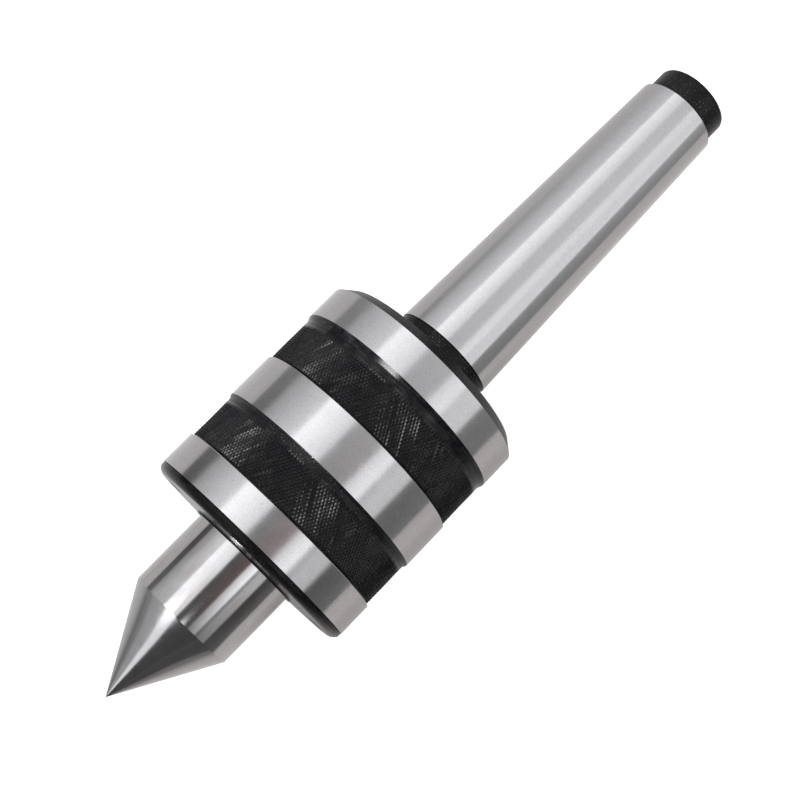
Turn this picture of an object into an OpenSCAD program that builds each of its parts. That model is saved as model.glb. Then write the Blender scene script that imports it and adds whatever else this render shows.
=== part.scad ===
// Live centre on a Morse taper No. 4 shank: a ground 60 degree point runs on three bearings
// inside a one-piece housing, behind a threaded cap with a lip seal.
// +X is the axis of rotation, towards the point. X = 0 is the gauge plane of the Morse taper.

/* [Morse taper shank] */
// Diameter of the taper at its gauge plane
gauge_d = 31.267; // [31.2:0.001:31.35]
// Length over which the diameter shrinks by one millimetre
taper_ratio = 19.254; // [19:0.001:20]
// Length of the ground taper behind the gauge plane
taper_len = 101.5; // [95:0.5:103]
// Diameter of the turned stub behind the ground taper
stub_d = 23.4; // [21:0.1:24.5]
// Length of the turned stub
stub_len = 8.2; // [6:0.1:12]
// Diameter of the neck between the taper and the body
neck_d = 30.8; // [29:0.1:31.2]
// Distance from the gauge plane to the rear face of the body
neck_len = 6.5; // [5:0.1:9]

/* [Body] */
// Diameter over the ground rings
body_d = 68.5; // [67.5:0.1:74]
// Depth of the knurled bands below the ground rings
band_depth = 0.7; // [0.3:0.05:1]
// Width of the ground ring next to the point
front_ring_w = 10.6; // [10.2:0.1:12]
// Width of the front knurled band
front_band_w = 15.5; // [15:0.1:17]
// Width of the middle ground ring
middle_ring_w = 14.8; // [14.4:0.1:17]
// Width of the rear knurled band
rear_band_w = 16.6; // [16:0.1:18]
// Width of the ground ring next to the shank
rear_ring_w = 10.5; // [10.2:0.1:12]
// Length of the rear edge's bevel, along the axis
bevel_len = 2.9; // [2:0.1:4]
// Height of the rear edge's bevel, along the radius
bevel_h = 3.5; // [2:0.1:5]
// Length of the slope from the rear ring down to its knurled band
rear_slope_len = 3.2; // [1:0.1:5]
// Length of the slope from the middle ring down to its knurled band
front_slope_len = 2.2; // [1:0.1:5]

/* [Front cap] */
// Length from the housing's front face to the top of the cap's lip
cap_len = 3.5; // [3.2:0.1:4]
// Radius of the cap's outer corner
cap_corner_r = 1.5; // [1:0.1:1.7]
// Diameter of the two holes for a pin spanner
spanner_hole_d = 4.5; // [3:0.1:4.6]
// Diameter of the circle on which the spanner holes lie
spanner_pcd = 54.5; // [52:0.1:54.6]

/* [Spindle] */
// Diameter of the nose in front of the cap
nose_d = 33.2; // [32.6:0.1:33.4]
// Length of the nose and the point in front of the cap
nose_len = 52.5; // [45:0.5:60]
// Full angle of the point
point_angle = 60; // [60:1:75]
// Diameter of the small flat at the very tip
tip_flat_d = 0.3; // [0.2:0.1:1]

/* [Bearings] */
// Radial clearance between a ball and its groove
ball_gap = 0.04; // [0.02:0.01:0.06]
// Radial gap between a bearing ring and its seat
seat_gap = 0.02; // [0.01:0.005:0.03]
// Balls in the front bearing
front_ball_count = 11; // [8:1:11]
// Balls in the thrust bearing
thrust_ball_count = 12; // [8:1:12]
// Balls in the rear bearing
rear_ball_count = 9; // [6:1:9]

/* [Hidden] */
$fn = 96;

// How far a cutting shape reaches past the face that it opens
over = 1;

// Shank
gauge_r = gauge_d / 2;
taper_end_r = gauge_r - taper_len / taper_ratio / 2;
stub_r = stub_d / 2;
neck_r = neck_d / 2;
tail_x = -taper_len - stub_len;
stub_chamfer = 1.4;
taper_chamfer = 0.4;
neck_fillet = 1;
centre_hole_r = 4;
centre_pilot_r = 1.6;
centre_pilot_len = 4;

// Body
body_r = body_d / 2;
band_r = body_r - band_depth;
edge_break = 0.25;
rear_ring_x0 = neck_len + bevel_len;
rear_ring_x1 = rear_ring_x0 + rear_ring_w;
middle_ring_x0 = rear_ring_x1 + rear_band_w;
middle_ring_x1 = middle_ring_x0 + middle_ring_w;
front_ring_x0 = middle_ring_x1 + front_band_w;
body_front_x = front_ring_x0 + front_ring_w;

// Deep groove ball bearings: bore, outside diameter, width, pitch diameter, ball diameter
front_brg = [30, 55, 13, 42.5, 7.144];
rear_brg = [20, 42, 12, 31, 6.35];
groove_depth_share = 0.2;
groove_conformity = 0.52;
shield_t = 0.4;
shield_step = 0.6;
shield_gap = 0.3;
recess_h = 1.05;
cage_share = 0.27;
cage_rail = 0.8;
pocket_gap = 0.08;

// Thrust ball bearing: bore, outside diameter, height, pitch diameter, ball diameter
thrust_brg = [25, 47, 15, 36, 7.938];
washer_t = 4.8;
thrust_conformity = 0.54;
washer_bore_relief = 1;
washer_rim_relief = 0.1;
thrust_cage_t = 2.6;
thrust_cage_rail = 0.9;
spacer_r = 18;

// Stations along the axis, counted back from the body's front face
thread_r = 30;
spigot_len = 8.4;
spacer_len = 2;
sleeve_gap = 6;
spring_gap = 4;
tail_room = 5.5;
front_brg_x1 = body_front_x - spigot_len;
front_brg_x0 = front_brg_x1 - front_brg[2];
thrust_x1 = front_brg_x0 - spacer_len;
thrust_x0 = thrust_x1 - thrust_brg[2];
rear_brg_x1 = thrust_x0 - sleeve_gap;
rear_brg_x0 = rear_brg_x1 - rear_brg[2];
spring_seat_x = rear_brg_x0 - spring_gap;
cavity_end_x = spring_seat_x - tail_room;
thread_relief = 1;
washer_seat_len = 5;
washer_relief_r = thrust_brg[1] / 2 + 1;
spring_seat_r = 18;

// Cap and seal
cap_step = 0.1;
cap_rim_h = 1.6;
cap_dome_h = 0.4;
cap_shoulder_w = 5;
cap_bore_gap = 0.3;
cap_lip_wall = 1;
cap_lip_h = 0.5;
thread_gap = 0.05;
cap_r = body_r - cap_step;
cap_face_x = body_front_x + cap_rim_h;
cap_front_x = body_front_x + cap_len;
cap_crown_x = cap_front_x - cap_lip_h;
cap_shoulder_x = cap_crown_x - cap_dome_h;
cap_shoulder_r = cap_r - cap_shoulder_w;
cap_bore_r = nose_d / 2 + cap_bore_gap;
lip_outer_r = cap_bore_r + cap_lip_wall;
spigot_r = thread_r - thread_gap;
corner_steps = 6;
spanner_hole_depth = 4.2;
seal_r = 22.5;
seal_len = 7;
seal_inset = 0.1;
seal_x1 = body_front_x - seal_inset;
seal_x0 = seal_x1 - seal_len;
seal_wall = 1;
seal_disc_r = 18.8;
seal_lip_gap = 0.05;
rubber_inset = 0.2;
rubber_bond_w = 1;
rubber_bond_t = 0.8;
dust_lip_len = 1.6;
dust_lip_h = 1;
lip_relief = 0.5;
lip_heel = 0.4;
garter_r = 0.7;
garter_path_r = nose_d / 2 + 2.3;
garter_x = seal_x0 + 2;
o_ring_r = 0.8;
o_ring_gap = 0.02;
o_ring_path_r = spigot_r + o_ring_r + o_ring_gap;
o_ring_x = body_front_x - o_ring_r - o_ring_gap;
mouth_chamfer = 2.8;

// Spindle
nose_r = nose_d / 2;
tip_flat_r = tip_flat_d / 2;
apex_x = cap_front_x + nose_len;
cone_slope = tan(point_angle / 2);
cone_base_x = apex_x - nose_r / cone_slope;
tip_x = apex_x - tip_flat_r / cone_slope;
spindle_tail_len = 4.5;
spindle_tail_x = rear_brg_x0 - spindle_tail_len;
spindle_chamfer = 1;

// Circlip, shim and wave spring
clip_t = 1.2;
clip_play = 0.1;
clip_groove_r = 9.5;
clip_r = 11.9;
clip_offset = 0.4;
clip_gap_angle = 24;
clip_lug_r = 2;
clip_lug_hole_r = 1;
clip_lug_path_r = 12;
clip_lug_spread = 10;
clip_cut_reach = 20;
shim_t = 0.5;
shim_r = 13.3;
wave_t = 0.6;
wave_count = 4;
wave_steps = 96;
wave_r0 = 18.5;
wave_r1 = 20.6;
wave_play = 0.05;

// A solid of revolution about the X axis; the outline's points are [radius, x].
module turned(outline) {
    rotate([0, 90, 0])
        rotate_extrude()
            polygon(outline);
}

// A plain ring about the X axis.
module ring(inner_r, outer_r, x0, x1) {
    turned([[inner_r, x0], [outer_r, x0], [outer_r, x1], [inner_r, x1]]);
}

// A torus about the X axis.
module torus(path_r, section_r, x) {
    rotate([0, 90, 0])
        rotate_extrude()
            translate([path_r, x])
                circle(section_r);
}

// Its children, repeated evenly on a circle about the X axis.
module around(count, path_r, x) {
    for (i = [0 : count - 1])
        rotate([360 * i / count, 0, 0])
            translate([x, 0, path_r])
                children();
}

// The outer ring of a deep groove bearing, with recesses for its two shields.
module outer_ring(brg, x0) {
    ball_r = brg[4] / 2;
    pitch_r = brg[3] / 2;
    groove_r = brg[4] * groove_conformity;
    land_r = pitch_r + ball_r - brg[4] * groove_depth_share;
    recess_x = shield_t + shield_step;
    x1 = x0 + brg[2];
    rotate([0, 90, 0])
        rotate_extrude()
            difference() {
                polygon([
                    [brg[1] / 2 - seat_gap, x0], [brg[1] / 2 - seat_gap, x1],
                    [land_r + recess_h, x1], [land_r + recess_h, x1 - recess_x],
                    [land_r, x1 - recess_x], [land_r, x0 + recess_x],
                    [land_r + recess_h, x0 + recess_x], [land_r + recess_h, x0]
                ]);
                translate([pitch_r + ball_r + ball_gap - groove_r, (x0 + x1) / 2])
                    circle(groove_r);
            }
}

// The inner ring of a deep groove bearing.
module inner_ring(brg, x0) {
    ball_r = brg[4] / 2;
    pitch_r = brg[3] / 2;
    groove_r = brg[4] * groove_conformity;
    land_r = pitch_r - ball_r + brg[4] * groove_depth_share;
    bore_r = brg[0] / 2 + seat_gap;
    x1 = x0 + brg[2];
    rotate([0, 90, 0])
        rotate_extrude()
            difference() {
                polygon([[bore_r, x0], [land_r, x0], [land_r, x1], [bore_r, x1]]);
                translate([pitch_r - ball_r - ball_gap + groove_r, (x0 + x1) / 2])
                    circle(groove_r);
            }
}

// The balls of a bearing.
module balls(brg, x0, count) {
    around(count, brg[3] / 2, x0 + brg[2] / 2)
        sphere(brg[4] / 2);
}

// The ring that keeps the balls of a deep groove bearing apart.
module ball_cage(brg, x0, count) {
    mid_x = x0 + brg[2] / 2;
    half_w = brg[4] / 2 + pocket_gap + cage_rail;
    half_h = brg[4] * cage_share / 2;
    difference() {
        ring(brg[3] / 2 - half_h, brg[3] / 2 + half_h, mid_x - half_w, mid_x + half_w);
        around(count, brg[3] / 2, mid_x)
            sphere(brg[4] / 2 + pocket_gap);
    }
}

// The two thin discs that close a deep groove bearing.
module shields(brg, x0) {
    inner_r = brg[3] / 2 - brg[4] * (0.5 - groove_depth_share) + shield_gap;
    outer_r = brg[3] / 2 + brg[4] * (0.5 - groove_depth_share) + recess_h - seat_gap;
    x1 = x0 + brg[2];
    ring(inner_r, outer_r, x0 + shield_step, x0 + shield_step + shield_t);
    ring(inner_r, outer_r, x1 - shield_step - shield_t, x1 - shield_step);
}

// One washer of the thrust bearing; side is 1 for the washer nearer the point.
module thrust_washer(side, bore_r, rim_r) {
    groove_r = thrust_brg[4] * thrust_conformity;
    mid_x = (thrust_x0 + thrust_x1) / 2;
    outer_x = mid_x + side * thrust_brg[2] / 2;
    inner_x = outer_x - side * washer_t;
    rotate([0, 90, 0])
        rotate_extrude()
            difference() {
                translate([bore_r, min(outer_x, inner_x)])
                    square([rim_r - bore_r, washer_t]);
                translate([thrust_brg[3] / 2,
                           mid_x + side * (thrust_brg[4] / 2 + ball_gap - groove_r)])
                    circle(groove_r);
            }
}

// The body with its three ground rings, the stepped bore for the bearings and the Morse shank.
module housing() {
    color("#4a4a4e")
        difference() {
            turned([
                [0, tail_x], [stub_r - stub_chamfer, tail_x],
                [stub_r, tail_x + stub_chamfer], [stub_r, -taper_len],
                [taper_end_r - taper_chamfer, -taper_len],
                [taper_end_r, -taper_len + taper_chamfer],
                [gauge_r, 0],
                [neck_r, gauge_r - neck_r], [neck_r, neck_len - neck_fillet],
                [neck_r + neck_fillet, neck_len],
                [body_r - bevel_h, neck_len], [body_r, rear_ring_x0],
                [body_r, rear_ring_x1],
                [band_r, rear_ring_x1 + rear_slope_len], [band_r, middle_ring_x0],
                [body_r - edge_break, middle_ring_x0], [body_r, middle_ring_x0 + edge_break],
                [body_r, middle_ring_x1],
                [band_r, middle_ring_x1 + front_slope_len], [band_r, front_ring_x0],
                [body_r - edge_break, front_ring_x0], [body_r, front_ring_x0 + edge_break],
                [body_r, body_front_x], [0, body_front_x]
            ]);
            turned([
                [0, cavity_end_x], [spring_seat_r, cavity_end_x],
                [spring_seat_r, spring_seat_x], [rear_brg[1] / 2, spring_seat_x],
                [rear_brg[1] / 2, thrust_x0], [thrust_brg[1] / 2, thrust_x0],
                [thrust_brg[1] / 2, thrust_x0 + washer_seat_len],
                [washer_relief_r, thrust_x0 + washer_seat_len],
                [washer_relief_r, front_brg_x0],
                [front_brg[1] / 2, front_brg_x0],
                [front_brg[1] / 2, front_brg_x1 - thread_relief],
                [thread_r, front_brg_x1 - thread_relief],
                [thread_r, body_front_x - mouth_chamfer],
                [thread_r + mouth_chamfer, body_front_x],
                [thread_r + mouth_chamfer, body_front_x + over], [0, body_front_x + over]
            ]);
            turned([
                [0, tail_x - over], [centre_hole_r + over * cone_slope, tail_x - over],
                [centre_pilot_r, tail_x + (centre_hole_r - centre_pilot_r) / cone_slope],
                [centre_pilot_r, tail_x + centre_pilot_len + centre_hole_r],
                [0, tail_x + centre_pilot_len + centre_hole_r + centre_pilot_r]
            ]);
        }
}

// The black threaded cap: a flange with a rounded corner, and a spigot that clamps the bearing.
module front_cap() {
    corner = [
        for (i = [0 : corner_steps])
            let (a = 90 * i / corner_steps)
            [cap_r - cap_corner_r + cap_corner_r * cos(a),
             cap_face_x - cap_corner_r + cap_corner_r * sin(a)]
    ];
    color("#1e1e20")
        difference() {
            turned(concat(
                [[cap_bore_r, front_brg_x1], [spigot_r, front_brg_x1],
                 [spigot_r, body_front_x], [cap_r, body_front_x]],
                corner,
                [[cap_shoulder_r, cap_shoulder_x], [lip_outer_r, cap_crown_x],
                 [lip_outer_r, cap_front_x], [cap_bore_r, cap_front_x]]
            ));
            ring(0, seal_r, front_brg_x1 - over, seal_x1);
            for (side = [-1, 1])
                translate([cap_crown_x - spanner_hole_depth, side * spanner_pcd / 2, 0])
                    rotate([0, 90, 0])
                        cylinder(d = spanner_hole_d, h = 2 * spanner_hole_depth);
        }
}

// The O-ring between the cap's flange and the housing's bevelled mouth.
module cap_o_ring() {
    color("#151515")
        torus(o_ring_path_r, o_ring_r, o_ring_x);
}

// The ground spindle: 60 degree point, nose, and the stepped seats of the bearings.
module spindle() {
    front_seat_r = front_brg[0] / 2;
    thrust_seat_r = thrust_brg[0] / 2 - seat_gap;
    rear_seat_r = rear_brg[0] / 2;
    groove_x1 = rear_brg_x0 - shim_t;
    groove_x0 = groove_x1 - clip_t - clip_play;
    color("#c9c9c6")
        difference() {
            turned([
                [0, spindle_tail_x], [rear_seat_r - spindle_chamfer, spindle_tail_x],
                [rear_seat_r, spindle_tail_x + spindle_chamfer],
                [rear_seat_r, groove_x0], [clip_groove_r, groove_x0],
                [clip_groove_r, groove_x1], [rear_seat_r, groove_x1],
                [rear_seat_r, rear_brg_x1], [thrust_seat_r, rear_brg_x1],
                [thrust_seat_r, thrust_x1], [front_seat_r, thrust_x1],
                [front_seat_r, front_brg_x1], [nose_r, front_brg_x1],
                [nose_r, cone_base_x], [tip_flat_r, tip_x], [0, tip_x]
            ]);
            turned([
                [0, spindle_tail_x - over],
                [centre_hole_r + over * cone_slope, spindle_tail_x - over],
                [0, spindle_tail_x + centre_hole_r / cone_slope]
            ]);
        }
}

// The pressed steel case of the lip seal.
module seal_case() {
    color("#77787a")
        turned([
            [seal_r - seal_wall, seal_x0], [seal_r - seat_gap, seal_x0],
            [seal_r - seat_gap, seal_x1], [seal_disc_r, seal_x1],
            [seal_disc_r, seal_x1 - seal_wall], [seal_r - seal_wall, seal_x1 - seal_wall]
        ]);
}

// The rubber lip that wipes the spindle.
module seal_lip() {
    lip_r = nose_r + seal_lip_gap;
    web_x = seal_x1 - seal_wall - rubber_bond_t;
    color("#1a1a1a")
        difference() {
            turned([
                [lip_r, seal_x1 - dust_lip_len], [lip_r + dust_lip_h, seal_x1 - rubber_inset],
                [seal_disc_r, seal_x1 - rubber_inset], [seal_disc_r, seal_x1 - seal_wall],
                [seal_disc_r + rubber_bond_w, seal_x1 - seal_wall],
                [seal_disc_r + rubber_bond_w, web_x], [seal_disc_r - lip_heel, web_x - lip_relief],
                [garter_path_r, garter_x],
                [lip_r + dust_lip_h, garter_x - garter_r], [lip_r, garter_x + lip_heel],
                [lip_r + lip_relief, garter_x + dust_lip_len],
                [lip_r + lip_relief, seal_x1 - dust_lip_len - lip_relief]
            ]);
            torus(garter_path_r, garter_r, garter_x);
        }
}

// The garter spring that pulls the lip onto the spindle.
module seal_spring() {
    color("#b9b9b9")
        torus(garter_path_r, garter_r - seat_gap, garter_x);
}

module front_bearing_outer_ring() {
    color("#b4b6b8") outer_ring(front_brg, front_brg_x0);
}

module front_bearing_inner_ring() {
    color("#b4b6b8") inner_ring(front_brg, front_brg_x0);
}

module front_bearing_balls() {
    color("#dcdcdc") balls(front_brg, front_brg_x0, front_ball_count);
}

module front_bearing_cage() {
    color("#8f8f8a") ball_cage(front_brg, front_brg_x0, front_ball_count);
}

module front_bearing_shields() {
    color("#a7a8a8") shields(front_brg, front_brg_x0);
}

// The sleeve between the front bearing's inner ring and the thrust bearing's shaft washer.
module bearing_spacer() {
    color("#9a9b9c") ring(front_brg[0] / 2 + seat_gap, spacer_r, thrust_x1, front_brg_x0);
}

module thrust_shaft_washer() {
    color("#b4b6b8")
        thrust_washer(1, thrust_brg[0] / 2, thrust_brg[1] / 2 - washer_rim_relief);
}

module thrust_housing_washer() {
    color("#b4b6b8")
        thrust_washer(-1, thrust_brg[0] / 2 + washer_bore_relief, thrust_brg[1] / 2 - seat_gap);
}

module thrust_balls() {
    color("#dcdcdc") balls(thrust_brg, thrust_x0, thrust_ball_count);
}

// The flat ring that keeps the thrust bearing's balls apart.
module thrust_cage() {
    pocket_r = thrust_brg[4] / 2 + pocket_gap;
    half_h = pocket_r + thrust_cage_rail;
    mid_x = (thrust_x0 + thrust_x1) / 2;
    color("#b08d4c")
        difference() {
            ring(thrust_brg[3] / 2 - half_h, thrust_brg[3] / 2 + half_h,
                 mid_x - thrust_cage_t / 2, mid_x + thrust_cage_t / 2);
            around(thrust_ball_count, thrust_brg[3] / 2, mid_x - thrust_cage_t)
                rotate([0, 90, 0])
                    cylinder(r = pocket_r, h = 2 * thrust_cage_t);
        }
}

module rear_bearing_outer_ring() {
    color("#b4b6b8") outer_ring(rear_brg, rear_brg_x0);
}

module rear_bearing_inner_ring() {
    color("#b4b6b8") inner_ring(rear_brg, rear_brg_x0);
}

module rear_bearing_balls() {
    color("#dcdcdc") balls(rear_brg, rear_brg_x0, rear_ball_count);
}

module rear_bearing_cage() {
    color("#8f8f8a") ball_cage(rear_brg, rear_brg_x0, rear_ball_count);
}

module rear_bearing_shields() {
    color("#a7a8a8") shields(rear_brg, rear_brg_x0);
}

// The open retaining ring with two plier lugs, in the groove at the spindle's tail.
module rear_circlip() {
    x0 = rear_brg_x0 - shim_t - clip_t;
    lug_angle = clip_gap_angle / 2 + clip_lug_spread;
    color("#3a3a3c")
        translate([x0, 0, 0])
            rotate([0, 90, 0])
                difference() {
                    union() {
                        translate([clip_offset, 0, 0])
                            cylinder(r = clip_r, h = clip_t);
                        for (side = [-1, 1])
                            rotate([0, 0, 180 + side * lug_angle])
                                translate([clip_lug_path_r, 0, 0])
                                    cylinder(r = clip_lug_r, h = clip_t);
                    }
                    translate([0, 0, -over])
                        cylinder(r = clip_groove_r + seat_gap, h = clip_t + 2 * over);
                    translate([0, 0, -over])
                        linear_extrude(clip_t + 2 * over)
                            polygon([
                                [0, 0],
                                [-clip_cut_reach, -clip_cut_reach * tan(clip_gap_angle / 2)],
                                [-clip_cut_reach, clip_cut_reach * tan(clip_gap_angle / 2)]
                            ]);
                    for (side = [-1, 1])
                        rotate([0, 0, 180 + side * lug_angle])
                            translate([clip_lug_path_r, 0, -over])
                                cylinder(r = clip_lug_hole_r, h = clip_t + 2 * over);
                }
}

// The hardened washer between the circlip and the rear bearing's inner ring.
module rear_shim() {
    color("#9a9b9c")
        ring(rear_brg[0] / 2 + seat_gap, shim_r, rear_brg_x0 - shim_t, rear_brg_x0);
}

// The wave spring that loads the rear bearing's outer ring forwards.
module preload_spring() {
    mid_x = rear_brg_x0 - spring_gap / 2;
    swing = spring_gap / 2 - wave_t / 2 - wave_play;
    function crest(i) = mid_x + swing * sin(360 * wave_count * i / wave_steps);
    corners = [
        for (i = [0 : wave_steps - 1])
            let (a = 360 * i / wave_steps, c = crest(i))
            for (p = [[wave_r0, -1], [wave_r1, -1], [wave_r1, 1], [wave_r0, 1]])
                [c + p[1] * wave_t / 2, p[0] * cos(a), p[0] * sin(a)]
    ];
    faces = [
        for (i = [0 : wave_steps - 1])
            for (k = [0 : 3])
                let (
                    here = 4 * i,
                    next = 4 * ((i + 1) % wave_steps),
                    k1 = (k + 1) % 4
                )
                for (half = [0, 1])
                    half == 0 ? [here + k, here + k1, next + k1] : [here + k, next + k1, next + k]
    ];
    color("#8d9095")
        polyhedron(corners, faces);
}

housing();
front_cap();
cap_o_ring();
spindle();
seal_case();
seal_lip();
seal_spring();
front_bearing_outer_ring();
front_bearing_inner_ring();
front_bearing_balls();
front_bearing_cage();
front_bearing_shields();
bearing_spacer();
thrust_shaft_washer();
thrust_housing_washer();
thrust_balls();
thrust_cage();
rear_bearing_outer_ring();
rear_bearing_inner_ring();
rear_bearing_balls();
rear_bearing_cage();
rear_bearing_shields();
rear_circlip();
rear_shim();
preload_spring();
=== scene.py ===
"""The looks of a live centre with a Morse taper shank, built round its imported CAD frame.

The knurled body, the black front cap and the ground spindle are detailed meshes of their own.
The bearings, the seal and the springs inside are the CAD nodes, with their own materials.
Outlines are lists of (distance along the axis, radius, zone) in millimetres; +X points to the tip.
"""
import math

import bpy
from mathutils import Matrix, Vector


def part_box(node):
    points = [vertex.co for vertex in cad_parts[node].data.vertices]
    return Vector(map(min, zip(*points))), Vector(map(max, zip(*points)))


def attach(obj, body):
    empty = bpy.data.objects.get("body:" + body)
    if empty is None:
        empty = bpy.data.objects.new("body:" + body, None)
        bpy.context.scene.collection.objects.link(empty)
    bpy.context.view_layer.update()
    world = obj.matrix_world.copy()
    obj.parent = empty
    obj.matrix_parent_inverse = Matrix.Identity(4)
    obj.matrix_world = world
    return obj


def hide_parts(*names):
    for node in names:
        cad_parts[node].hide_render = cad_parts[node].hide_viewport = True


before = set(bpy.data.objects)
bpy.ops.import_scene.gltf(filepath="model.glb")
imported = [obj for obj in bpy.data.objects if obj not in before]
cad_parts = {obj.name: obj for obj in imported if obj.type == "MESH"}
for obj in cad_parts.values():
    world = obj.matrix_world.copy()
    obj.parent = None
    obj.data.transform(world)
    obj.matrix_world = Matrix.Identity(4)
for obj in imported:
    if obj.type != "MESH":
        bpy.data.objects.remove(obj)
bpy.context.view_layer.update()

MM = 0.001


# ---------------------------------------------------------------- sizes, from the CAD frame

def span(node):
    """A node's first and last station along the axis, and its outer radius, in millimetres."""
    low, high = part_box(node)
    return low.x / MM, high.x / MM, high.z / MM


TAIL_X, BODY_FRONT_X, BODY_R = span("housing")
CAP_REAR_X, CAP_FRONT_X, CAP_R = span("front_cap")
SPINDLE_TAIL_X, TIP_X, NOSE_R = span("spindle")
FRONT_BEARING_X0, FRONT_BEARING_X1, FRONT_BEARING_R = span("front_bearing_outer_ring")
THRUST_X0, _, THRUST_R = span("thrust_housing_washer")
_, THRUST_X1, _ = span("thrust_shaft_washer")
REAR_BEARING_X0, REAR_BEARING_X1, REAR_BEARING_R = span("rear_bearing_outer_ring")
_, SEAL_X1, SEAL_R = span("seal_case")
SHIM_X0, _, _ = span("rear_shim")
CLIP_X0, CLIP_X1, _ = span("rear_circlip")

# Morse taper No. 4: the gauge plane is at x = 0.
GAUGE_R = 15.6335
TAPER_END_X = -101.5
TAPER_SLOPE = 1 / 19.254 / 2
TAPER_END_R = GAUGE_R + TAPER_END_X * TAPER_SLOPE
STUB_R = 11.7
STUB_ROUND = 1.4
NECK_R = 15.4
NECK_END_X = 6.5
NECK_FILLET = 1.0
CENTRE_HOLE_R = 4.0
CENTRE_PILOT_R = 1.6
CENTRE_PILOT_END = 8.0
STUB_CHAMFER = 0.3
TAPER_CHAMFER = 0.35
GAUGE_CHAMFER = 0.05
NECK_START_X = 0.25
TAN_30 = math.tan(math.radians(30))

# The body's rings and knurled bands.
BEVEL_R = 30.75
REAR_RING = (9.4, 19.9)
MIDDLE_RING = (36.5, 51.3)
FRONT_RING = (66.8, BODY_FRONT_X)
REAR_KNURL = (23.3, 35.85)
FRONT_KNURL = (53.6, 66.1)

# The diamond knurl: its crests, the grooves' depth and number, rows along a band, the share of a
# pitch that a groove's flank takes, how unlike the grooves are, and the length of their fading in.
KNURL_CREST_R = BODY_R - 0.62
KNURL_DEPTH = 0.21
KNURL_COUNT = 204
KNURL_ROWS = 14
KNURL_FLANK = 0.43
KNURL_UNEVEN = 0.40
KNURL_FADE = 0.9
KNURL_WANDER = 0.018
RUN_OUT_END_R = KNURL_CREST_R - 0.04
RUN_OUT_GAP = 0.1
UNDERCUT_R = BODY_R - 1.15
EDGE = 0.12

# The bores in the body's front, and what the cap and the spindle put in them.
SEAT_GAP = 0.02
O_RING_SEAT_R = 32.8
THREAD_R = 30.0
THRUST_RELIEF = 1.0
SPRING_BORE_R = 18.0
SPANNER_HOLE_Y = 27.25
SPANNER_HOLE_R = 2.25
SPANNER_HOLE_DEPTH = 4.2
LIP_R = 0.18

# The cone's extra circles of points, as distances from its base, which keep its faces short.
CONE_STATIONS = (9, 18)

# Meshes: points round the axis, the sharpest angle that is shaded smooth, and the body's zones.
SEGMENTS = 240
BODY_SMOOTH = 22
CAP_SMOOTH = 34
SPINDLE_SMOOTH = 20
BLACK, GROUND, KNURL, TAPER, TURNED = range(5)


# ---------------------------------------------------------------- camera, floor and light

CAMERA_LENS = 65.1
CAMERA_PLACE = (91.9, 0.6, 404.5)
CAMERA_TILT = 10.29
CAMERA_ROLL = 134.43


def make_camera():
    """Looks down on the centre from above its nose, turned so that the point is at the lower left."""
    data = bpy.data.cameras.new("main_camera")
    data.lens = CAMERA_LENS
    data.sensor_width = 36
    data.clip_start = 0.01
    data.clip_end = 20
    camera = bpy.data.objects.new("main_camera", data)
    tilt = Matrix.Rotation(math.radians(CAMERA_TILT), 4, "Y")
    roll = Matrix.Rotation(math.radians(CAMERA_ROLL), 4, "Z")
    camera.matrix_world = Matrix.Translation(Vector(CAMERA_PLACE) * MM) @ tilt @ roll
    bpy.context.scene.collection.objects.link(camera)
    bpy.context.scene.camera = camera


class Nodes:
    """A short way to add and link shader nodes."""

    def __init__(self, tree):
        self.tree = tree
        self.tree.nodes.clear()

    def add(self, kind, inputs=(), **settings):
        node = self.tree.nodes.new(kind)
        for name, value in settings.items():
            setattr(node, name, value)
        for key, value in dict(inputs).items():
            if isinstance(value, bpy.types.NodeSocket):
                self.tree.links.new(value, node.inputs[key])
            else:
                node.inputs[key].default_value = value
        return node

    def math(self, operation, a, b=0.0):
        return self.add("ShaderNodeMath", {0: a, 1: b}, operation=operation).outputs[0]

    def remap(self, value, low, high, to_low=0.0, to_high=1.0, smooth=False):
        kind = "SMOOTHSTEP" if smooth else "LINEAR"
        inputs = {"Value": value, "From Min": low, "From Max": high, "To Min": to_low, "To Max": to_high}
        return self.add("ShaderNodeMapRange", inputs, interpolation_type=kind).outputs[0]

    def noise(self, vector, scale, detail=2.0, roughness=0.5):
        inputs = {"Vector": vector, "Scale": scale, "Detail": detail, "Roughness": roughness}
        return self.add("ShaderNodeTexNoise", inputs).outputs["Fac"]

    def stretched(self, vector, scale):
        return self.add("ShaderNodeMapping", {"Vector": vector, "Scale": scale}).outputs[0]

    def vector_math(self, operation, a, b):
        return self.add("ShaderNodeVectorMath", {0: a, 1: b}, operation=operation).outputs[0]

    def mix(self, factor, a, b):
        node = self.add("ShaderNodeMix", data_type="RGBA")
        for socket, value in zip((node.inputs[0], node.inputs[6], node.inputs[7]), (factor, a, b)):
            if isinstance(value, bpy.types.NodeSocket):
                self.tree.links.new(value, socket)
            else:
                socket.default_value = value if isinstance(value, float) else (*value, 1.0)
        return node.outputs[2]


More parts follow.
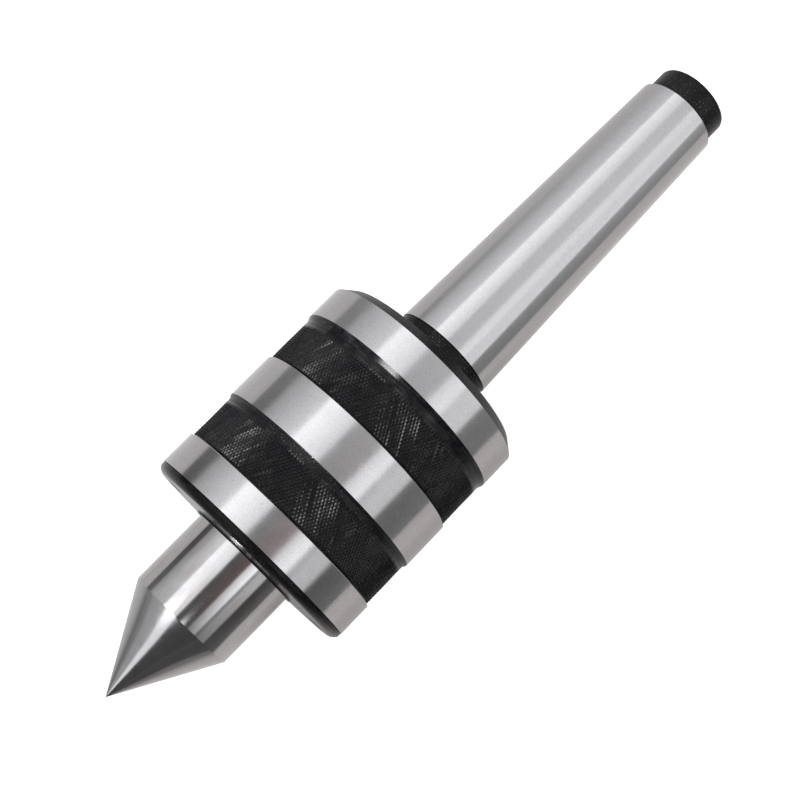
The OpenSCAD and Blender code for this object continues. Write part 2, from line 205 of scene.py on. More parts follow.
# Each part of the studio: angles round the axis from and to (0 is up, + is towards +Y), its level
# seen past the point, the two levels at those angles square to the axis and the two seen past the
# shank, the softness of its edges in degrees, and whether it changes early on the way to the shank.
STUDIO = (
    ("left_horizon", -112, -87, 0.45, (0.12, 0.14), (0.90, 0.90), 2, False),
    ("left_wall", -87, -45, 0.72, (0.60, 1.62), (0.94, 1.34), 3, False),
    ("left_softbox", -45, -12, 1.85, (2.75, 1.62), (2.20, 1.55), 2, False),
    ("ceiling", -12, 20, 0.09, (0.16, 0.20), (1.25, 1.32), 2, True),
    ("right_softbox", 20, 38, 0.10, (1.40, 2.60), (1.75, 1.75), 2, True),
    ("right_gap", 38, 44, 0.10, (0.60, 0.60), (1.60, 1.60), 1.5, True),
    ("right_fill", 44, 63, 0.10, (1.02, 1.02), (1.60, 1.62), 2, True),
    ("right_wall", 61, 98, 0.12, (0.06, 0.28), (0.78, 0.44), 2, False),
)

# The least level, and how far along the axis the levels change over, in degrees: to those past
# the shank from square to the axis, and to those past the point between two angles.
ROOM_LEVEL = 0.02
SHANK_VIEW = 26.0
POINT_VIEW = (3.0, 25.0)
LAMP_COLOUR = (0.985, 0.985, 1.0)

# Past these angles towards the shank, the studio keeps only this share of its light.
BEHIND_ALONG = (-42, -30)
BEHIND_LEVEL = 0.30

# The ceiling's warm patch: its colour, and its angles round and along the axis with their softness.
WARM_COLOUR = (1.20, 0.93, 0.90)
WARM_AROUND = (0, 20, 4)
WARM_ALONG = (-4, 14, 5)

# The lamps that only tilted facets see: angles round the axis, angles along it, level and softness.
LAMPS = (
    ("left_lamp", -42, -22, 19.5, 23, 34.0, 2),
    ("right_lamp", 1, 10, 19.5, 23, 10.0, 2),
    ("edge_lamp", -40, -18, 33, 41, 90.0, 3),
)


def make_world():
    """A white backdrop for the camera; reflections see long softboxes beside a dim ceiling.

    Around and along are the angles of a direction round the axis and towards the point."""
    world = bpy.data.worlds.new("studio")
    bpy.context.scene.world = world
    world.use_nodes = True
    n = Nodes(world.node_tree)
    direction = n.add("ShaderNodeTexCoord").outputs["Generated"]
    xyz = n.add("ShaderNodeSeparateXYZ", {0: direction}).outputs
    around = n.math("MULTIPLY", n.math("ARCTAN2", xyz[1], xyz[2]), 180 / math.pi)
    along = n.math("MULTIPLY", n.math("ARCSINE", xyz[0]), 180 / math.pi)
    to_shank = n.remap(along, 0.0, -SHANK_VIEW)
    rest = n.math("SUBTRACT", 1.0, to_shank)
    to_shank_early = n.math("SUBTRACT", 1.0, n.math("MULTIPLY", rest, rest))
    to_point = n.remap(along, *POINT_VIEW, smooth=True)

    def blend(t, a, b):
        """The value t of the way from a to b."""
        return n.math("ADD", n.math("MULTIPLY", n.math("SUBTRACT", 1.0, t), a), n.math("MULTIPLY", t, b))

    def window(value, low, high, soft):
        """1 between low and high, 0 outside, with soft edges."""
        rise = n.remap(value, low - soft, low + soft, smooth=True)
        fall = n.remap(value, high - soft, high + soft, 1.0, 0.0, smooth=True)
        return n.math("MULTIPLY", rise, fall)

    total = ROOM_LEVEL
    for _, a0, a1, past_point, square, past_shank, soft, early in STUDIO:
        level = n.remap(around, a0, a1, *square)
        level = blend(to_shank_early if early else to_shank, level, n.remap(around, a0, a1, *past_shank))
        level = blend(to_point, level, past_point)
        total = n.math("ADD", total, n.math("MULTIPLY", level, window(around, a0, a1, soft)))
    total = n.math("MULTIPLY", total, n.remap(along, *BEHIND_ALONG, BEHIND_LEVEL, 1.0, smooth=True))
    for _, a0, a1, e0, e1, level, soft in LAMPS:
        spot = n.math("MULTIPLY", window(around, a0, a1, soft), window(along, e0, e1, soft))
        total = n.math("ADD", total, n.math("MULTIPLY", spot, level))
    warm = n.math("MULTIPLY", window(around, *WARM_AROUND), window(along, *WARM_ALONG))
    colour = n.mix(warm, LAMP_COLOUR, WARM_COLOUR)
    studio = n.add("ShaderNodeBackground", {"Color": colour, "Strength": total}).outputs[0]
    backdrop = n.add("ShaderNodeBackground", {"Color": (1, 1, 1, 1), "Strength": 1.0}).outputs[0]
    seen = n.add("ShaderNodeLightPath").outputs["Is Camera Ray"]
    mixed = n.add("ShaderNodeMixShader", {0: seen, 1: studio, 2: backdrop}).outputs[0]
    n.add("ShaderNodeOutputWorld", {"Surface": mixed})


FLOOR_X = (-0.42, 0.42)
FLOOR_Y = (-0.215, 0.42)

# What the metal mirrors of the sheet, in metres: a glow that falls past the point, a shade beside
# the body that starts and ends softly both ways, and a tint that warms from one side to the other.
SHEET_GLOW = 0.88
PAST_POINT_X = (0.135, 0.215)
PAST_POINT_GLOW = 0.42
SHADE_LEVEL = 0.42
SHADE_START_X, SHADE_END_X = (-0.06, 0.0), (0.085, 0.11)
SHADE_START_Y, SHADE_END_Y = (-0.01, 0.02), (0.03, 0.13)
SHEET_TINTS = ((1.0, 0.985, 0.975), (1.03, 0.985, 0.965))
TINT_Y = (-0.05, 0.05)


def make_floor():
    """The white sheet on which the body rests: plain white to the camera, duller in reflections."""
    z = -BODY_R * MM
    corners = [(x, y, z) for x, y in zip(FLOOR_X + FLOOR_X[::-1], (FLOOR_Y[0],) * 2 + (FLOOR_Y[1],) * 2)]
    mesh = bpy.data.meshes.new("floor")
    mesh.from_pydata(corners, [], [(0, 1, 2, 3)])
    floor = bpy.data.objects.new("floor", mesh)
    bpy.context.scene.collection.objects.link(floor)
    material = bpy.data.materials.new("white_sheet")
    material.use_nodes = True
    n = Nodes(material.node_tree)
    place = n.add("ShaderNodeTexCoord").outputs["Object"]
    xyz = n.add("ShaderNodeSeparateXYZ", {0: place}).outputs
    tone = n.remap(n.noise(place, 40.0, 3.0), 0.3, 0.7, 0.38, 0.42)
    colour = n.add("ShaderNodeCombineColor", {0: tone, 1: tone, 2: tone}).outputs[0]
    sheet = n.add("ShaderNodeBsdfPrincipled", {
        "Base Color": colour, "Roughness": 0.9,
        "Emission Color": (1.0, 1.0, 1.0, 1), "Emission Strength": 0.86,
    })
    past_point = n.remap(xyz[0], *PAST_POINT_X, 1.0, PAST_POINT_GLOW, smooth=True)
    shade = n.math("MULTIPLY", n.remap(xyz[0], *SHADE_START_X), n.remap(xyz[0], *SHADE_END_X, 1.0, 0.0))
    shade = n.math("MULTIPLY", shade, n.remap(xyz[1], *SHADE_END_Y, SHADE_LEVEL, 0.0))
    shade = n.math("MULTIPLY", shade, n.remap(xyz[1], *SHADE_START_Y))
    glow = n.math("MULTIPLY", past_point, n.math("SUBTRACT", SHEET_GLOW, shade))
    tint = n.mix(n.remap(xyz[1], *TINT_Y), *SHEET_TINTS)
    mirrored = n.add("ShaderNodeEmission", {"Color": tint, "Strength": glow})
    seen = n.add("ShaderNodeLightPath").outputs["Is Camera Ray"]
    mixed = n.add("ShaderNodeMixShader", {0: seen, 1: mirrored.outputs[0], 2: sheet.outputs[0]})
    n.add("ShaderNodeOutputMaterial", {"Surface": mixed.outputs[0]})
    mesh.materials.append(material)


# ---------------------------------------------------------------- materials

RINGS_PER_MM = 5.2
RING_DRIFT = 160
RING_HEIGHT = 0.006 * MM
GRAIN_HEIGHT = 0.01 * MM


def place_nodes(n):
    """The surface point in metres, its distance from the axis in mm, and a point for turned rings.

    The last one runs quickly along the axis and outwards, and slowly round it, so that a noise
    makes rings on a cylinder and on a flat face alike."""
    place = n.add("ShaderNodeTexCoord").outputs["Object"]
    xyz = n.add("ShaderNodeSeparateXYZ", {0: place}).outputs
    square = n.math("ADD", n.math("MULTIPLY", xyz[1], xyz[1]), n.math("MULTIPLY", xyz[2], xyz[2]))
    radius = n.math("MULTIPLY", n.math("SQRT", square), 1 / MM)
    sweep = n.math("ADD", n.math("MULTIPLY", xyz[0], 1 / MM), radius)
    slow = n.stretched(place, (0, RING_DRIFT, RING_DRIFT))
    turned = n.add("ShaderNodeCombineXYZ", {0: sweep}).outputs[0]
    turned = n.vector_math("MULTIPLY", turned, (RINGS_PER_MM, 0, 0))
    turned = n.vector_math("ADD", turned, slow)
    return place, radius, turned


LINE_MM = 0.16
FROST_COLOUR = (0.85, 0.85, 0.86)
SPECK_COLOUR = (0.05, 0.045, 0.04)


def ground_metal(name, colour, roughness, lines=0.35, mottle=0.06, grain=0.05, tarnish_and_painted_reflection=0.0):
    """Metal ground or turned about the X axis: fine rings, frosted grain, soft mottling and specks."""
    material = bpy.data.materials.new(name)
    material.use_nodes = True
    n = Nodes(material.node_tree)
    place, _, _ = place_nodes(n)
    rings = n.noise(n.stretched(place, (1 / (LINE_MM * MM), 110, 110)), 1.0, 3.0, 0.65)
    cloud = n.noise(place, 260.0, 4.0, 0.6)
    frost = n.noise(n.stretched(place, (3600, 2200, 2200)), 1.0, 2.0, 0.7)
    patch = n.noise(n.stretched(place, (60, 240, 240)), 1.0, 2.0)
    speck = n.remap(n.noise(place, 2600.0, 1.0), 0.735, 0.765)
    light = tuple(min(1.0, c * (1 + mottle)) for c in colour)
    dark = tuple(c * (1 - mottle) for c in colour)
    base = n.mix(n.remap(cloud, 0.3, 0.7), dark, light)
    base = n.mix(n.remap(rings, 0.3, 0.75, 0.0, 0.22), base, tuple(c * 0.78 for c in colour))
    base = n.mix(n.remap(frost, 0.40, 0.60, 0.0, grain * 2), base, tuple(c * 0.5 for c in colour))
    base = n.mix(n.remap(frost, 0.60, 0.42, 0.0, grain), base, FROST_COLOUR)
    # Brown patches at random: real tarnish on brass, and a painted reflection on the polished nose,
    # where the brown it mirrors is painted into its colour.
    if tarnish_and_painted_reflection:
        tint = n.math("MULTIPLY", n.remap(patch, 0.48, 0.72, smooth=True), tarnish_and_painted_reflection)
        base = n.mix(tint, base, (colour[0] * 0.76, colour[1] * 0.64, colour[2] * 0.56))
    base = n.mix(n.math("MULTIPLY", speck, 0.6), base, SPECK_COLOUR)
    uneven = n.math("ADD", n.math("MULTIPLY", rings, 0.5), n.math("MULTIPLY", cloud, 0.5))
    rough = n.remap(uneven, 0.3, 0.7, roughness * 0.75, roughness * 1.3)
    bump = n.add("ShaderNodeBump", {"Height": rings, "Strength": lines, "Distance": RING_HEIGHT})
    shader = n.add("ShaderNodeBsdfPrincipled", {
        "Base Color": base, "Metallic": 1.0, "Roughness": rough, "Normal": bump.outputs[0],
    })
    n.add("ShaderNodeOutputMaterial", {"Surface": shader.outputs[0]})
    return material


OXIDE_DARK = (0.0022, 0.0022, 0.0027)
OXIDE_LIGHT = (0.0055, 0.0053, 0.0060)
WORN_COLOUR = (0.22, 0.218, 0.216)
CREST_BLEND = 0.08


def black_oxide(name, roughness, ior, grain=0.4, speckle=0.15, haze=1.0, sheen=0.0,
                crest_r=None, burnish=0.0):
    """Satin black oxide on steel, with sparse bright specks.

    Haze makes the black lighter, and sheen lightens it where it is seen edge on. With crest_r,
    metal shows in patches where the knurl's crests are worn; burnish is how much shows along
    fine turned rings."""
    material = bpy.data.materials.new(name)
    material.use_nodes = True
    n = Nodes(material.node_tree)
    place, radius, turned = place_nodes(n)
    fine = n.noise(place, 2600.0, 3.0, 0.7)
    cloud = n.noise(place, 240.0, 4.0, 0.6)
    rings = n.noise(turned, 1.0, 2.0)
    dark = tuple(c * haze for c in OXIDE_DARK)
    light = tuple(c * haze for c in OXIDE_LIGHT)
    base = n.mix(n.remap(cloud, 0.3, 0.7), dark, light)
    speck = n.remap(n.noise(place, 3000.0, 1.0), 0.68, 0.73)
    worn = n.math("MULTIPLY", speck, speckle)
    if crest_r:
        crest = n.remap(radius, crest_r - CREST_BLEND, crest_r, smooth=True)
        rub = n.math("MULTIPLY", crest, n.remap(cloud, 0.47, 0.68, 0.0, 0.12))
        worn = n.math("MAXIMUM", worn, rub)
    if burnish:
        streak = n.remap(rings, 0.50, 0.68, 0.0, burnish)
        worn = n.math("MAXIMUM", worn, n.math("MULTIPLY", streak, n.remap(cloud, 0.42, 0.62)))
    base = n.mix(worn, base, WORN_COLOUR)
    rough = n.remap(fine, 0.3, 0.7, roughness * 0.8, roughness * 1.3)
    height = n.math("ADD", n.math("MULTIPLY", fine, 0.7), n.math("MULTIPLY", rings, 0.5))
    bump = n.add("ShaderNodeBump", {"Height": height, "Strength": grain, "Distance": GRAIN_HEIGHT})
    shader = n.add("ShaderNodeBsdfPrincipled", {
        "Base Color": base, "Metallic": n.remap(worn, 0.0, 0.5), "Roughness": rough,
        "IOR": ior, "Sheen Weight": sheen, "Sheen Roughness": 0.35, "Normal": bump.outputs[0],
    })
    n.add("ShaderNodeOutputMaterial", {"Surface": shader.outputs[0]})
    return material


def rubber(name):
    """Matt nitrile rubber with a fine moulded grain and a trace of dust."""
    material = bpy.data.materials.new(name)
    material.use_nodes = True
    n = Nodes(material.node_tree)
    place, _, _ = place_nodes(n)
    grain = n.noise(place, 5200.0, 3.0, 0.6)
    dust = n.remap(n.noise(place, 420.0, 4.0), 0.52, 0.78, 0.0, 0.35)
    base = n.mix(dust, (0.012, 0.012, 0.013), (0.055, 0.052, 0.048))
    rough = n.remap(grain, 0.3, 0.7, 0.48, 0.7)
    bump = n.add("ShaderNodeBump", {"Height": grain, "Strength": 0.4, "Distance": GRAIN_HEIGHT})
    shader = n.add("ShaderNodeBsdfPrincipled", {
        "Base Color": base, "Roughness": rough, "Normal": bump.outputs[0],
    })
    n.add("ShaderNodeOutputMaterial", {"Surface": shader.outputs[0]})
    return material


STEEL = (0.392, 0.388, 0.391)
POINT_STEEL = (0.36, 0.357, 0.362)
BEARING_STEEL = (0.62, 0.62, 0.63)
BALL_STEEL = (0.70, 0.70, 0.71)
PRESSED_STEEL = (0.42, 0.42, 0.41)
SPRING_STEEL = (0.30, 0.30, 0.33)
ZINC = (0.55, 0.56, 0.57)
BRASS = (0.66, 0.48, 0.22)


def make_materials():
    """All materials by their short names; each number after a colour or a name is the roughness."""
    return {
        "ground": ground_metal("ground_steel", STEEL, 0.15, lines=0.25, mottle=0.03),
        "taper": ground_metal("ground_taper", STEEL, 0.15, lines=0.25, mottle=0.02, grain=0.035),
        # The nose's brown patches are a painted reflection: the brown it mirrors, painted into its
        # colour.
        "nose": ground_metal(
            "polished_nose", STEEL, 0.11, lines=0.16, mottle=0.05, grain=0.02, tarnish_and_painted_reflection=0.45),
        "point": ground_metal("point_steel", POINT_STEEL, 0.15, lines=0.12, mottle=0.04, grain=0.02),
        "black": black_oxide("black_oxide", 0.30, ior=1.22, speckle=0.6),
        "turned": black_oxide("turned_oxide", 0.15, ior=1.20, grain=0.15, burnish=0.14),
        "cap": black_oxide(
            "cap_oxide", 0.19, ior=1.18, grain=0.12, haze=0.7, sheen=0.02, burnish=0.02),
        "knurl": black_oxide(
            "knurl_oxide", 0.11, ior=1.20, grain=0.06, sheen=0.22, crest_r=KNURL_CREST_R),
        "bearing": ground_metal("bearing_steel", BEARING_STEEL, 0.14, lines=0.2, grain=0.03),
        "ball": ground_metal("ball_steel", BALL_STEEL, 0.05, lines=0.03, mottle=0.03, grain=0.01),
        "pressed": ground_metal("pressed_steel", PRESSED_STEEL, 0.34, lines=0.5, mottle=0.12),
        "zinc": ground_metal("zinc_plate", ZINC, 0.28, lines=0.3, mottle=0.1),
        "spring": ground_metal("spring_steel", SPRING_STEEL, 0.3, lines=0.4, mottle=0.12),
        "brass": ground_metal("cage_brass", BRASS, 0.25, lines=0.5, mottle=0.1, tarnish_and_painted_reflection=0.4),
        "rubber": rubber("seal_rubber"),
    }


# ---------------------------------------------------------------- meshes

class Skin:
    """A closed mesh put together from loops of points round the X axis."""

    def __init__(self):
        self.points, self.faces, self.zones = [], [], []

    def point(self, x, r, turn):
        angle = turn * 2 * math.pi
        self.points.append((x * MM, r * math.sin(angle) * MM, r * math.cos(angle) * MM))
        return len(self.points) - 1

    def loop(self, x, r):
        """A circle of points as (turn, point) pairs, or one point on the axis."""
        if r <= 0:
            return [(0.0, self.point(x, 0.0, 0.0))]
        return [(i / SEGMENTS, self.point(x, r, i / SEGMENTS)) for i in range(SEGMENTS)]

    def face(self, corners, zone):
        self.faces.append(corners)
        self.zones.append(zone)

    def bridge(self, a, b, zone):
        """Closes the surface between two loops, whatever their counts."""
        count_a, count_b = len(a), len(b)
        if count_a == count_b:
            for i in range(count_a):
                j = (i + 1) % count_a
                self.face((a[i][1], b[i][1], b[j][1], a[j][1]), zone)
            return
        if count_a == 1 or count_b == 1:
            rim = b if count_a == 1 else a
            for i in range(len(rim)):
                here, after = rim[i][1], rim[(i + 1) % len(rim)][1]
                self.face((a[0][1], here, after) if count_a == 1 else (here, b[0][1], after), zone)
            return
        i = j = 0
        while i < count_a or j < count_b:
            next_a = a[(i + 1) % count_a][0] + (i + 1) // count_a
            next_b = b[(j + 1) % count_b][0] + (j + 1) // count_b
            here_a, here_b = a[i % count_a][1], b[j % count_b][1]
            if j >= count_b or (i < count_a and next_a <= next_b):
                self.face((here_a, here_b, a[(i + 1) % count_a][1]), zone)
                i += 1
            else:
                self.face((here_a, here_b, b[(j + 1) % count_b][1]), zone)
                j += 1

    def turn(self, outline, start=None, closed=False):
        """Sweeps an outline round the axis; each station's zone is that of the surface before it."""
        first = start
        before = start
        for x, r, zone in outline:
            here = self.loop(x, r)
            if before is not None:
                self.bridge(before, here, zone)
            else:
                first = here
            before = here
        if closed:
            self.bridge(before, first, outline[0][2])
        return before

    def finish(self, name, materials, sharp_degrees):
        """Makes the object, shaded smooth except at edges sharper than the given angle."""
        mesh = bpy.data.meshes.new(name)
        mesh.from_pydata(self.points, [], self.faces)
        for material in materials:
            mesh.materials.append(material)
        mesh.polygons.foreach_set("material_index", self.zones)
        mesh.shade_smooth()
        mesh.set_sharp_from_angle(angle=math.radians(sharp_degrees))
        mesh.update()
        piece = bpy.data.objects.new(name, mesh)
        bpy.context.scene.collection.objects.link(piece)
        return piece


def arc(x, r, radius, start, end, zone, steps=6, r_radius=None):
    """Points along an arc about (x, r); 0 degrees is along +X and 90 is outwards.

    With r_radius the arc is part of an ellipse, that much high."""
    points = []
    high = radius if r_radius is None else r_radius
    for i in range(steps + 1):
        angle = math.radians(start + (end - start) * i / steps)
        points.append((x + radius * math.cos(angle), r + high * math.sin(angle), zone))
    return points


def knurl(skin, x0, x1, crest_r, depth, zone):
    """A diamond knurl as real facets; returns the loops of points at its two ends.

    Two families of slanting grooves cross. Each has lines at 0, FLANK and 1 - FLANK of its pitch,
    and the points are where lines q + d and q cross: half the sum of their places round the axis,
    half the difference along it. Faces are split along the grooves and the ridges."""
    around = 3 * KNURL_COUNT
    deep = 3 * KNURL_ROWS
    pitch_x = 2 * (x1 - x0) / KNURL_ROWS
    stops = (0.0, KNURL_FLANK, 1 - KNURL_FLANK)

    def line(k):
        return k // 3 + stops[k % 3]

    def groove(k, family):
        """How deep groove k of a family is: no two teeth of the knurling tool cut alike."""
        chance = math.sin((k // 3 % KNURL_COUNT) * 12.9898 + family * 78.233) * 43758.5453 % 1.0
        return depth * (1 + KNURL_UNEVEN * (chance - 0.5)) if k % 3 == 0 else 0.0

    rows = []
    for d in range(deep + 1):
        row = []
        for q in range(around):
            u, v = line(q + d), line(q)
            turn = (u + v) / 2 / KNURL_COUNT
            x = x0 + (u - v) / 2 * pitch_x
            angle = 2 * math.pi * turn
            wander = math.sin(angle * 5 + x * 0.31) + math.sin(angle * 9 - x * 0.53)
            fade = min(1.0, (x - x0) / KNURL_FADE)
            r = crest_r - fade * (KNURL_WANDER * wander + max(groove(q, 0), groove(q + d, 1)))
            row.append(((turn + 0.5) % 1.0, skin.point(x, r, turn + 0.5)))
        rows.append(row)

    def at(d, q):
        return rows[d][q % around][1]

    for d in range(deep + 1):
        for q in range(around):
            a, c = at(d, q), at(d, q + 1)
            b = at(d + 1, q) if d < deep else None
            e = at(d - 1, q + 1) if d > 0 else None
            if b is None:
                skin.face((a, c, e), zone)
            elif e is None:
                skin.face((a, b, c), zone)
            elif (q % 3 == 0) == ((q + d) % 3 == 0):
                skin.face((a, b, c), zone)
                skin.face((a, c, e), zone)
            else:
                skin.face((a, b, e), zone)
                skin.face((b, c, e), zone)
    return sorted(rows[0]), sorted(rows[deep])


RIDGE_HEIGHT = 0.008
RUN_OUT_POWER = 1.3


def run_out(x0, x1, high, low, chamfer, slope, ridges, zone):
    """A chamfer and a concave run-out from a ring down to a knurled band, with turning ridges."""
    foot = high - chamfer * slope
    points = []
    steps = 2 * ridges
    for i in range(1, steps + 1):
        x = x0 + (x1 - x0) * i / steps
        ridge = RIDGE_HEIGHT if i % 2 else 0.0
        if x <= x0 + chamfer:
            r = high - (x - x0) * slope
        else:
            r = low + (foot - low) * ((x1 - x) / (x1 - x0 - chamfer)) ** RUN_OUT_POWER
        points.append((x, r - ridge, zone))
    return points


def make_housing(materials):
    """The one-piece body: Morse shank, three ground rings, two knurled bands and stepped bores."""
    skin = Skin()
    end = skin.turn(shank_outline())
    end = knurled_band(skin, end, REAR_KNURL, MIDDLE_RING)
    middle = run_out(
        MIDDLE_RING[1], FRONT_KNURL[0] - RUN_OUT_GAP, BODY_R, RUN_OUT_END_R,
        chamfer=0.75, slope=0.75, ridges=6, zone=BLACK)
    end = skin.turn(middle, end)
    end = knurled_band(skin, end, FRONT_KNURL, FRONT_RING)
    skin.turn(bore_outline(), end)
    looks = [materials[m] for m in ("black", "ground", "knurl", "taper", "turned")]
    piece = skin.finish("housing_shell", looks, BODY_SMOOTH)
    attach(piece, "housing")
    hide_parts("housing")


def shank_outline():
    """The centre hole, the shank's end, the taper, the neck, the rear ring and its run-out."""
    pilot_x0 = TAIL_X + (CENTRE_HOLE_R - CENTRE_PILOT_R) / TAN_30
    pilot_x1 = TAIL_X + CENTRE_PILOT_END
    return (
        [
            (pilot_x1 + CENTRE_PILOT_R, 0, BLACK), (pilot_x1, CENTRE_PILOT_R, BLACK),
            (pilot_x0, CENTRE_PILOT_R, BLACK), (TAIL_X, CENTRE_HOLE_R, BLACK),
        ]
        + arc(TAIL_X + STUB_ROUND, STUB_R - STUB_ROUND, STUB_ROUND, 180, 90, BLACK)
        + [
            (TAPER_END_X - STUB_CHAMFER, STUB_R, BLACK), (TAPER_END_X, STUB_R + STUB_CHAMFER, BLACK),
            (TAPER_END_X, TAPER_END_R - TAPER_CHAMFER, BLACK),
            (TAPER_END_X + TAPER_CHAMFER, TAPER_END_R, BLACK),
            (-GAUGE_CHAMFER, GAUGE_R - GAUGE_CHAMFER * TAPER_SLOPE, TAPER),
            (0.0, GAUGE_R - GAUGE_CHAMFER, TAPER), (NECK_START_X, NECK_R, BLACK),
        ]
        + arc(NECK_END_X - NECK_FILLET, NECK_R + NECK_FILLET, NECK_FILLET, -90, 0, BLACK)
        + [
            (NECK_END_X, BEVEL_R - 2 * EDGE, BLACK), (NECK_END_X + EDGE, BEVEL_R + EDGE, TURNED),
            (REAR_RING[0], BODY_R - EDGE, BLACK), (REAR_RING[0] + EDGE, BODY_R, BLACK),
            (REAR_RING[0] + 2 * EDGE, BODY_R, GROUND), (REAR_RING[1] - 2 * EDGE, BODY_R, GROUND),
            (REAR_RING[1], BODY_R, GROUND),
        ]
        + run_out(
            REAR_RING[1], REAR_KNURL[0] - RUN_OUT_GAP, BODY_R, RUN_OUT_END_R,
            chamfer=1.5, slope=0.43, ridges=9, zone=TURNED)
    )


def bore_outline():
    """The front face and the stepped bores behind it, down to the blind end behind the spring."""
    thread_x0 = FRONT_BEARING_X1 - 1.0
    relief_x0 = THRUST_X0 + 5.0
    spring_x1 = REAR_BEARING_X0 - 4.0
    blind_x = REAR_BEARING_X0 - 9.5
    return [
        (BODY_FRONT_X - EDGE, BODY_R - EDGE, GROUND), (BODY_FRONT_X, BODY_R - 2 * EDGE, BLACK),
        (BODY_FRONT_X, O_RING_SEAT_R, BLACK),
        (BODY_FRONT_X - (O_RING_SEAT_R - THREAD_R), THREAD_R, BLACK),
        (thread_x0, THREAD_R, BLACK), (thread_x0, FRONT_BEARING_R + SEAT_GAP, GROUND),
        (FRONT_BEARING_X0, FRONT_BEARING_R + SEAT_GAP, GROUND),
        (FRONT_BEARING_X0, THRUST_R + THRUST_RELIEF, GROUND),
        (relief_x0, THRUST_R + THRUST_RELIEF, GROUND), (relief_x0, THRUST_R + SEAT_GAP, GROUND),
        (THRUST_X0, THRUST_R + SEAT_GAP, GROUND), (THRUST_X0, REAR_BEARING_R + SEAT_GAP, GROUND),
        (spring_x1, REAR_BEARING_R + SEAT_GAP, GROUND), (spring_x1, SPRING_BORE_R, GROUND),
        (blind_x, SPRING_BORE_R, GROUND), (blind_x, 0, GROUND),
    ]


def knurled_band(skin, before, band, ring):
    """A knurled band, the narrow undercut after it and the ground ring that follows."""
    first, last = knurl(skin, band[0], band[1], KNURL_CREST_R, KNURL_DEPTH, KNURL)
    skin.bridge(before, first, KNURL)
    return skin.turn([
        (band[1] + EDGE, UNDERCUT_R, BLACK), (ring[0], UNDERCUT_R, BLACK),
        (ring[0], BODY_R - EDGE, BLACK), (ring[0] + EDGE, BODY_R, GROUND),
        (ring[0] + 2 * EDGE, BODY_R, GROUND), (ring[1] - 3 * EDGE, BODY_R, GROUND),
        (ring[1] - EDGE, BODY_R, GROUND),
    ], last)


def make_cap(materials):
    """The black cap: rounded rim, slightly domed face with two spanner holes, lip round the nose."""
    bore_r = NOSE_R + 0.3
    lip_r = bore_r + 1.0
    crown_x = CAP_FRONT_X - 0.5
    rim_x = BODY_FRONT_X + 0.15
    rim_r = CAP_R - 0.08
    thread_r = THREAD_R - 0.05
    skin = Skin()
    outline = [
        (CAP_REAR_X, SEAL_R + SEAT_GAP, 0), (CAP_REAR_X, thread_r - 0.4, 0),
        (CAP_REAR_X + 0.4, thread_r, 0), (BODY_FRONT_X, thread_r, 0),
        (BODY_FRONT_X, CAP_R - 0.25, 0), (rim_x, rim_r, 0), (rim_x + 0.9, rim_r, 0),
    ]
    outline += arc(rim_x - 1.78, CAP_R - 2.84, 4.35, 52, 8, 0, steps=10, r_radius=3.5)[1:]
    outline += [(crown_x - 0.30, CAP_R - 4.0, 0), (crown_x - 0.25, lip_r + 6.0, 0)]
    outline += [(crown_x - 0.03, lip_r + 2.0, 0), (crown_x, lip_r + 0.3, 0), (crown_x, lip_r, 0)]
    outline += arc(CAP_FRONT_X - LIP_R, lip_r - LIP_R, LIP_R, 90, 0, 0, steps=3)
    outline += [(CAP_FRONT_X, bore_r + 0.25, 0), (CAP_FRONT_X - 0.25, bore_r, 0)]
    outline += [(SEAL_X1, bore_r, 0), (SEAL_X1, SEAL_R + SEAT_GAP, 0)]
    skin.turn(outline, closed=True)
    piece = skin.finish("front_cap_shell", [materials["cap"]], CAP_SMOOTH)
    for side in (-1, 1):
        drill(piece, side * SPANNER_HOLE_Y, crown_x, SPANNER_HOLE_DEPTH, SPANNER_HOLE_R)
    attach(piece, "housing")
    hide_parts("front_cap")


def drill(piece, y, face_x, depth, hole_r):
    """Cuts a round blind hole with a small countersink into a piece's face, along X."""
    sink_x = face_x - 0.75
    top_x = face_x + 1.5
    skin = Skin()
    skin.turn([
        (face_x - depth, 0, 0), (face_x - depth, hole_r, 0), (sink_x, hole_r, 0),
        (top_x, hole_r + top_x - sink_x, 0), (top_x, 0, 0),
    ])
    cutter = skin.finish("cutter", [], CAP_SMOOTH)
    cutter.data.transform(Matrix.Translation((0, y * MM, 0)))
    bpy.context.view_layer.update()
    modifier = piece.modifiers.new("hole", "BOOLEAN")
    modifier.operation = "DIFFERENCE"
    modifier.solver = "EXACT"
    modifier.object = cutter
    graph = bpy.context.evaluated_depsgraph_get()
    mesh = bpy.data.meshes.new_from_object(piece.evaluated_get(graph))
    piece.modifiers.clear()
    piece.data = mesh
    bpy.data.objects.remove(cutter)


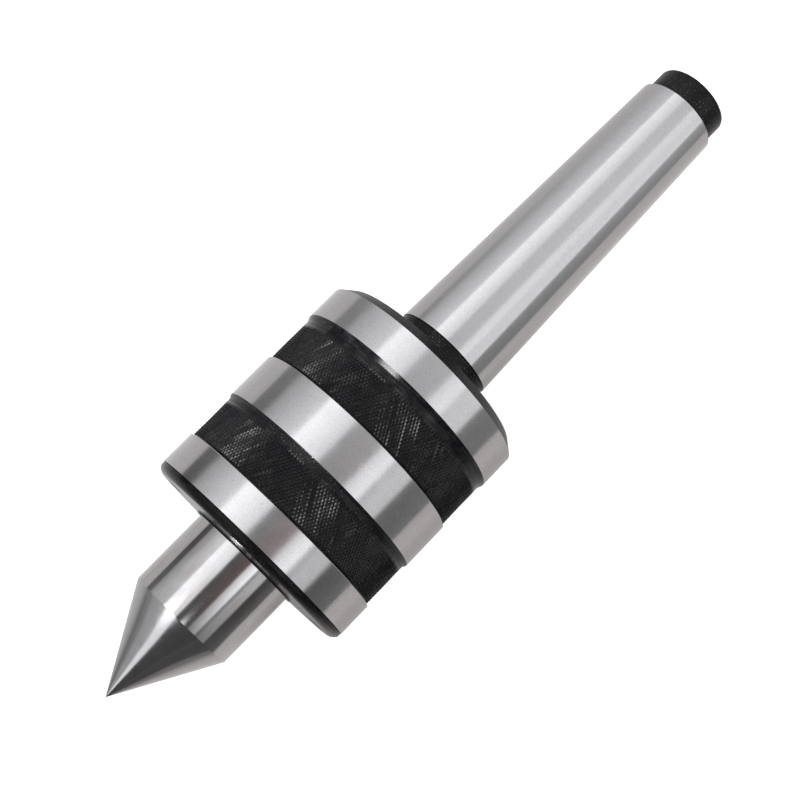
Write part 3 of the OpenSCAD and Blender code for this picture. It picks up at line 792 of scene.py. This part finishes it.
def make_spindle(materials):
    """The ground spindle: stepped bearing seats, polished nose and the 60 degree point."""
    front_seat, thrust_seat, rear_seat = 15.0, 12.48, 10.0
    tip_flat_r = 0.15
    apex_x = TIP_X + tip_flat_r / TAN_30
    cone_base_x = apex_x - NOSE_R / TAN_30
    hole_r = 4.0
    groove_r = 9.5
    skin = Skin()
    skin.turn([
        (SPINDLE_TAIL_X + hole_r / TAN_30, 0, 0), (SPINDLE_TAIL_X, hole_r, 0),
        (SPINDLE_TAIL_X, rear_seat - 1, 0), (SPINDLE_TAIL_X + 1, rear_seat, 0),
        (CLIP_X0 - 0.1, rear_seat, 0), (CLIP_X0 - 0.1, groove_r, 0), (CLIP_X1, groove_r, 0),
        (SHIM_X0, rear_seat, 0), (REAR_BEARING_X1, rear_seat, 0), (REAR_BEARING_X1, thrust_seat, 0),
        (THRUST_X1, thrust_seat, 0), (THRUST_X1, front_seat, 0),
        (FRONT_BEARING_X1, front_seat, 0), (FRONT_BEARING_X1, NOSE_R - 0.3, 0),
        (FRONT_BEARING_X1 + 0.3, NOSE_R, 0), (cone_base_x - 0.04, NOSE_R, 0),
        (cone_base_x + 0.04, NOSE_R - 0.04 * TAN_30, 0),
        *((cone_base_x + x, NOSE_R - x * TAN_30, 1) for x in CONE_STATIONS),
        (TIP_X, tip_flat_r, 1), (TIP_X, 0, 1),
    ])
    piece = skin.finish("spindle_point", [materials["nose"], materials["point"]], SPINDLE_SMOOTH)
    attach(piece, "spindle")
    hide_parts("spindle")


# The material of each CAD node that stays as it is.
NODE_LOOKS = {
    "cap_o_ring": "rubber", "seal_case": "pressed", "seal_lip": "rubber", "seal_spring": "spring",
    "front_bearing_outer_ring": "bearing", "front_bearing_inner_ring": "bearing",
    "front_bearing_balls": "ball", "front_bearing_cage": "pressed", "front_bearing_shields": "zinc",
    "bearing_spacer": "ground", "thrust_shaft_washer": "bearing", "thrust_housing_washer": "bearing",
    "thrust_balls": "ball", "thrust_cage": "brass",
    "rear_bearing_outer_ring": "bearing", "rear_bearing_inner_ring": "bearing",
    "rear_bearing_balls": "ball", "rear_bearing_cage": "pressed", "rear_bearing_shields": "zinc",
    "rear_circlip": "spring", "rear_shim": "ground", "preload_spring": "spring",
}


def dress_nodes(materials):
    """Gives each CAD node that stays its own procedural material."""
    for node, look in NODE_LOOKS.items():
        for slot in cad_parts[node].material_slots:
            slot.material = materials[look]


make_camera()
make_world()
make_floor()
looks = make_materials()
make_housing(looks)
make_cap(looks)
make_spindle(looks)
dress_nodes(looks)
bpy.context.scene.view_settings.view_transform = "Standard"
